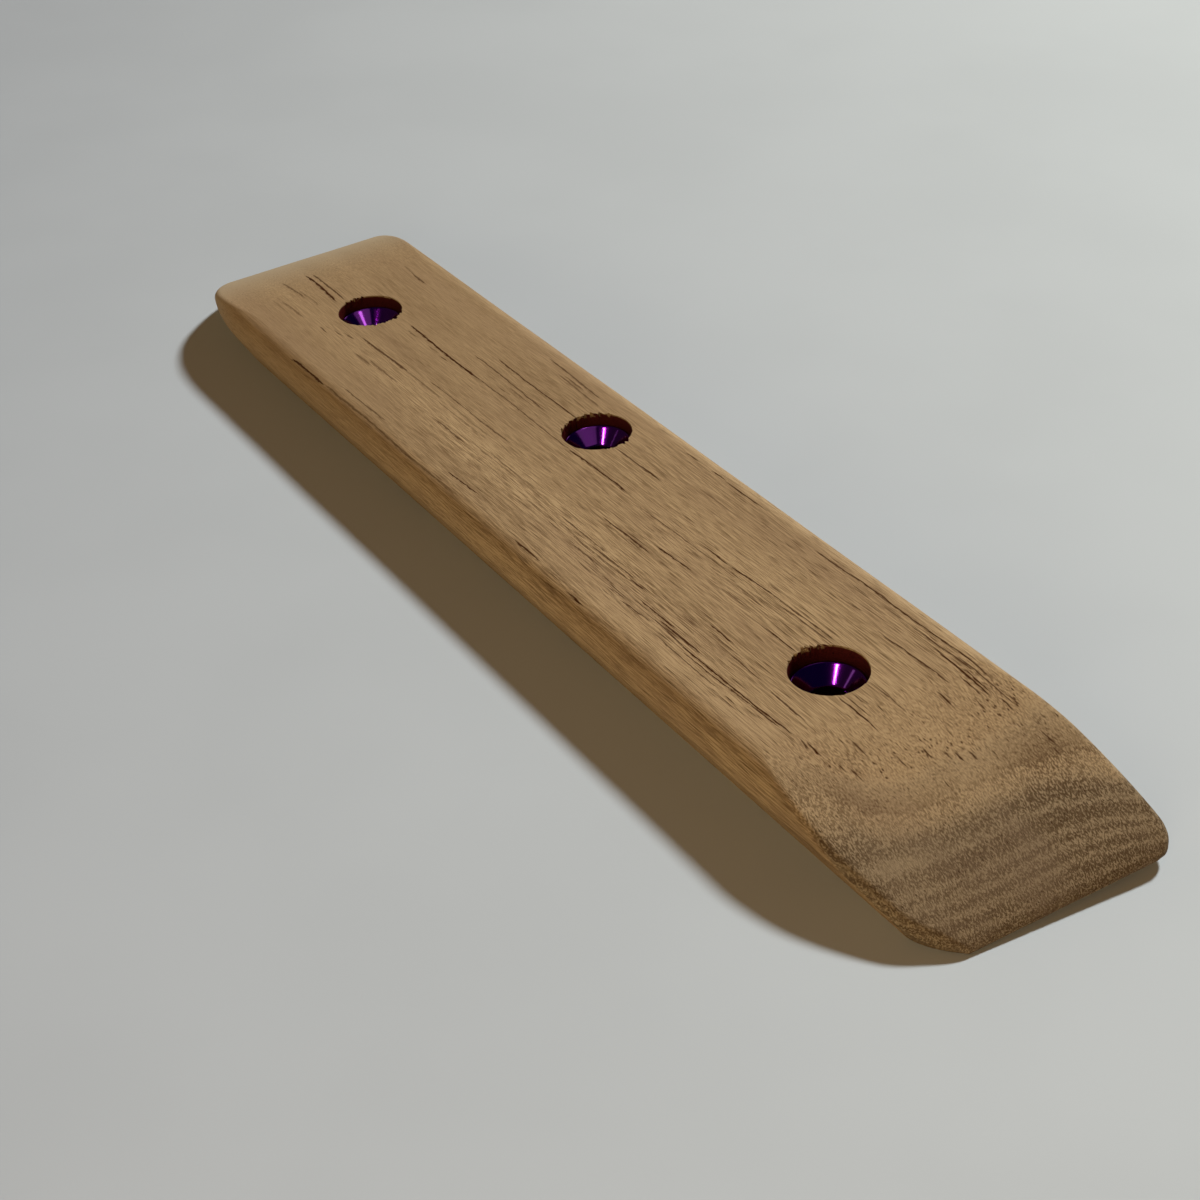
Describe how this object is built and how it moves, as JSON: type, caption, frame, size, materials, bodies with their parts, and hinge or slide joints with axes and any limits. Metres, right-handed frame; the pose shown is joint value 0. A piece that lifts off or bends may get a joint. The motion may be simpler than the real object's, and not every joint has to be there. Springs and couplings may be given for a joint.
{
  "type": "wooden crimp rail",
  "caption": "Long wooden climbing hold with an undercut finger edge, ends that fall to a thin toe, and conical washers in stepped bolt holes.",
  "frame": {"origin": "centre of the flat back of the rail's bounding box", "axes": "+X along the rail, towards its left end as it hangs on a wall; -Y towards the undercut grip side, which is up in use; +Z out of the wall, from the flat back through the front face"},
  "size_m": [0.4372, 0.0812, 0.02],
  "materials": {
    "wood": "sanded, unvarnished",
    "washer_left_end": "purple anodised",
    "washer_middle": "purple anodised",
    "washer_right_end": "purple anodised"
  },
  "bodies": {
    "root": {"rail_body": "wood", "washer_left_end": "washer_left_end", "washer_middle": "washer_middle", "washer_right_end": "washer_right_end"}
  },
  "joints": []
}
